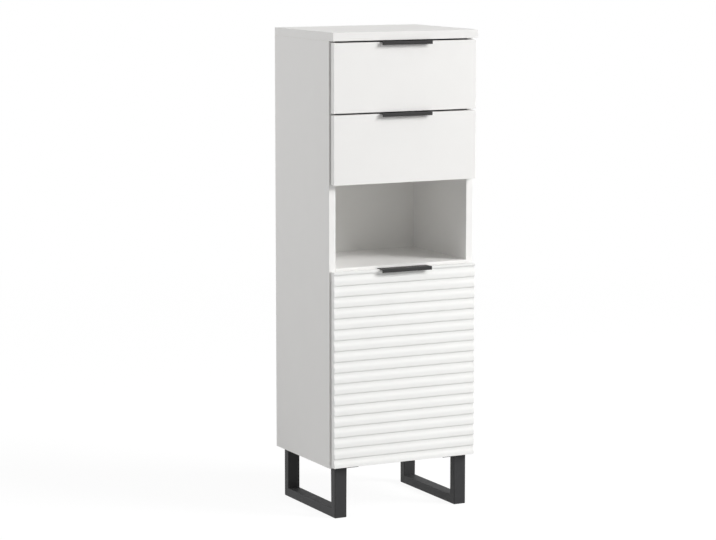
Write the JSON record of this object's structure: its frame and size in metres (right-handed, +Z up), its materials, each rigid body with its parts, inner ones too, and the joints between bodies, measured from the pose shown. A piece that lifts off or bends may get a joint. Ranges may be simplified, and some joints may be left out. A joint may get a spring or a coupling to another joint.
{
  "type": "bathroom storage tower",
  "caption": "Narrow white bathroom storage tower: drawers above an open niche and a ribbed cupboard door, on anthracite skid legs.",
  "frame": {"origin": "middle of the footprint on the floor", "axes": "+X to the right seen from the front, -Y out of the front, +Z up"},
  "size_m": [0.366, 0.31, 1.1],
  "materials": {
    "white_melamine": "white melamine-faced chipboard, fine satin grain",
    "white_front": "white melamine-faced board, satin",
    "white_ribbed_foil": "ribbed board wrapped in white satin foil",
    "white_hardboard": "thin hardboard with a white lacquered face",
    "anthracite_steel": "anthracite powder coat, fine texture",
    "anthracite_handle": "anthracite powder coat on folded sheet",
    "white_steel": "white epoxy-coated sheet steel",
    "nickel_hinge": "nickel-plated pressed steel",
    "zinc_fastener": "bright zinc plate",
    "nylon": "white moulded nylon",
    "clear_bumper": "soft translucent dot",
    "beech": "fluted beech dowel"
  },
  "bodies": {
    "cabinet": {"side_panel_left": "white_melamine", "side_panel_right": "white_melamine", "top_panel": "white_melamine", "bottom_panel": "white_melamine", "niche_ceiling": "white_melamine", "niche_floor": "white_melamine", "back_panel": "white_hardboard", "adjustable_shelf": "white_melamine", "shelf_pins": "zinc_fastener", "cam_locks": "zinc_fastener", "cam_bolts": "zinc_fastener", "dowels": "beech", "leg_frame_left": "anthracite_steel", "leg_frame_right": "anthracite_steel", "leg_screws": "zinc_fastener", "upper_rail_left": "white_steel", "upper_rail_right": "white_steel", "lower_rail_left": "white_steel", "lower_rail_right": "white_steel", "rail_screws": "zinc_fastener", "hinge_plates": "nickel_hinge", "hinge_arms": "nickel_hinge", "hinge_plate_screws": "zinc_fastener", "door_bumpers": "clear_bumper"},
    "door": {"door_panel": "white_ribbed_foil", "door_handle": "anthracite_handle", "door_handle_screws": "zinc_fastener", "hinge_cups": "nickel_hinge", "hinge_pins": "nickel_hinge", "hinge_cup_screws": "zinc_fastener"},
    "upper_drawer": {"upper_drawer_front": "white_front", "upper_drawer_side_left": "white_melamine", "upper_drawer_side_right": "white_melamine", "upper_drawer_back": "white_melamine", "upper_drawer_bottom": "white_hardboard", "upper_drawer_handle": "anthracite_handle", "upper_handle_screws": "zinc_fastener", "upper_slide_left": "white_steel", "upper_slide_right": "white_steel", "upper_slide_screws": "zinc_fastener", "upper_box_screws": "zinc_fastener", "upper_front_fittings": "zinc_fastener"},
    "lower_drawer": {"lower_drawer_front": "white_front", "lower_drawer_side_left": "white_melamine", "lower_drawer_side_right": "white_melamine", "lower_drawer_back": "white_melamine", "lower_drawer_bottom": "white_hardboard", "lower_drawer_handle": "anthracite_handle", "lower_handle_screws": "zinc_fastener", "lower_slide_left": "white_steel", "lower_slide_right": "white_steel", "lower_slide_screws": "zinc_fastener", "lower_box_screws": "zinc_fastener", "lower_front_fittings": "zinc_fastener"},
    "upper_front_rollers": {"upper_front_rollers": "nylon"},
    "upper_rear_rollers": {"upper_rear_rollers": "nylon"},
    "lower_front_rollers": {"lower_front_rollers": "nylon"},
    "lower_rear_rollers": {"lower_rear_rollers": "nylon"}
  },
  "joints": [
    {"name": "door_swing", "type": "hinge", "parent": "cabinet", "child": "door", "pos_m": [0.1733, -0.1375, 0.343], "axis": [0, 0, 1], "range_deg": [0, 95]},
    {"name": "upper_drawer_slide", "type": "slide", "parent": "cabinet", "child": "upper_drawer", "axis": [0, -1, 0], "range_m": [0, 0.18]},
    {"name": "upper_front_roller_spin", "type": "hinge", "parent": "cabinet", "child": "upper_front_rollers", "pos_m": [0, -0.1125, 0.9577], "axis": [1, 0, 0], "range_deg": [0, 1190]},
    {"name": "upper_rear_roller_spin", "type": "hinge", "parent": "upper_drawer", "child": "upper_rear_rollers", "pos_m": [0, 0.109, 0.9577], "axis": [1, 0, 0], "range_deg": [0, 1190]},
    {"name": "lower_drawer_slide", "type": "slide", "parent": "cabinet", "child": "lower_drawer", "axis": [0, -1, 0], "range_m": [0, 0.18]},
    {"name": "lower_front_roller_spin", "type": "hinge", "parent": "cabinet", "child": "lower_front_rollers", "pos_m": [0, -0.1125, 0.7977], "axis": [1, 0, 0], "range_deg": [0, 1190]},
    {"name": "lower_rear_roller_spin", "type": "hinge", "parent": "lower_drawer", "child": "lower_rear_rollers", "pos_m": [0, 0.109, 0.7977], "axis": [1, 0, 0], "range_deg": [0, 1190]}
  ],
  "couplings": [
    {"joint": "upper_front_roller_spin", "follows": "upper_drawer_slide", "rad_per_m": 114.94},
    {"joint": "upper_rear_roller_spin", "follows": "upper_drawer_slide", "rad_per_m": 114.94},
    {"joint": "lower_front_roller_spin", "follows": "lower_drawer_slide", "rad_per_m": 114.94},
    {"joint": "lower_rear_roller_spin", "follows": "lower_drawer_slide", "rad_per_m": 114.94}
  ]
}
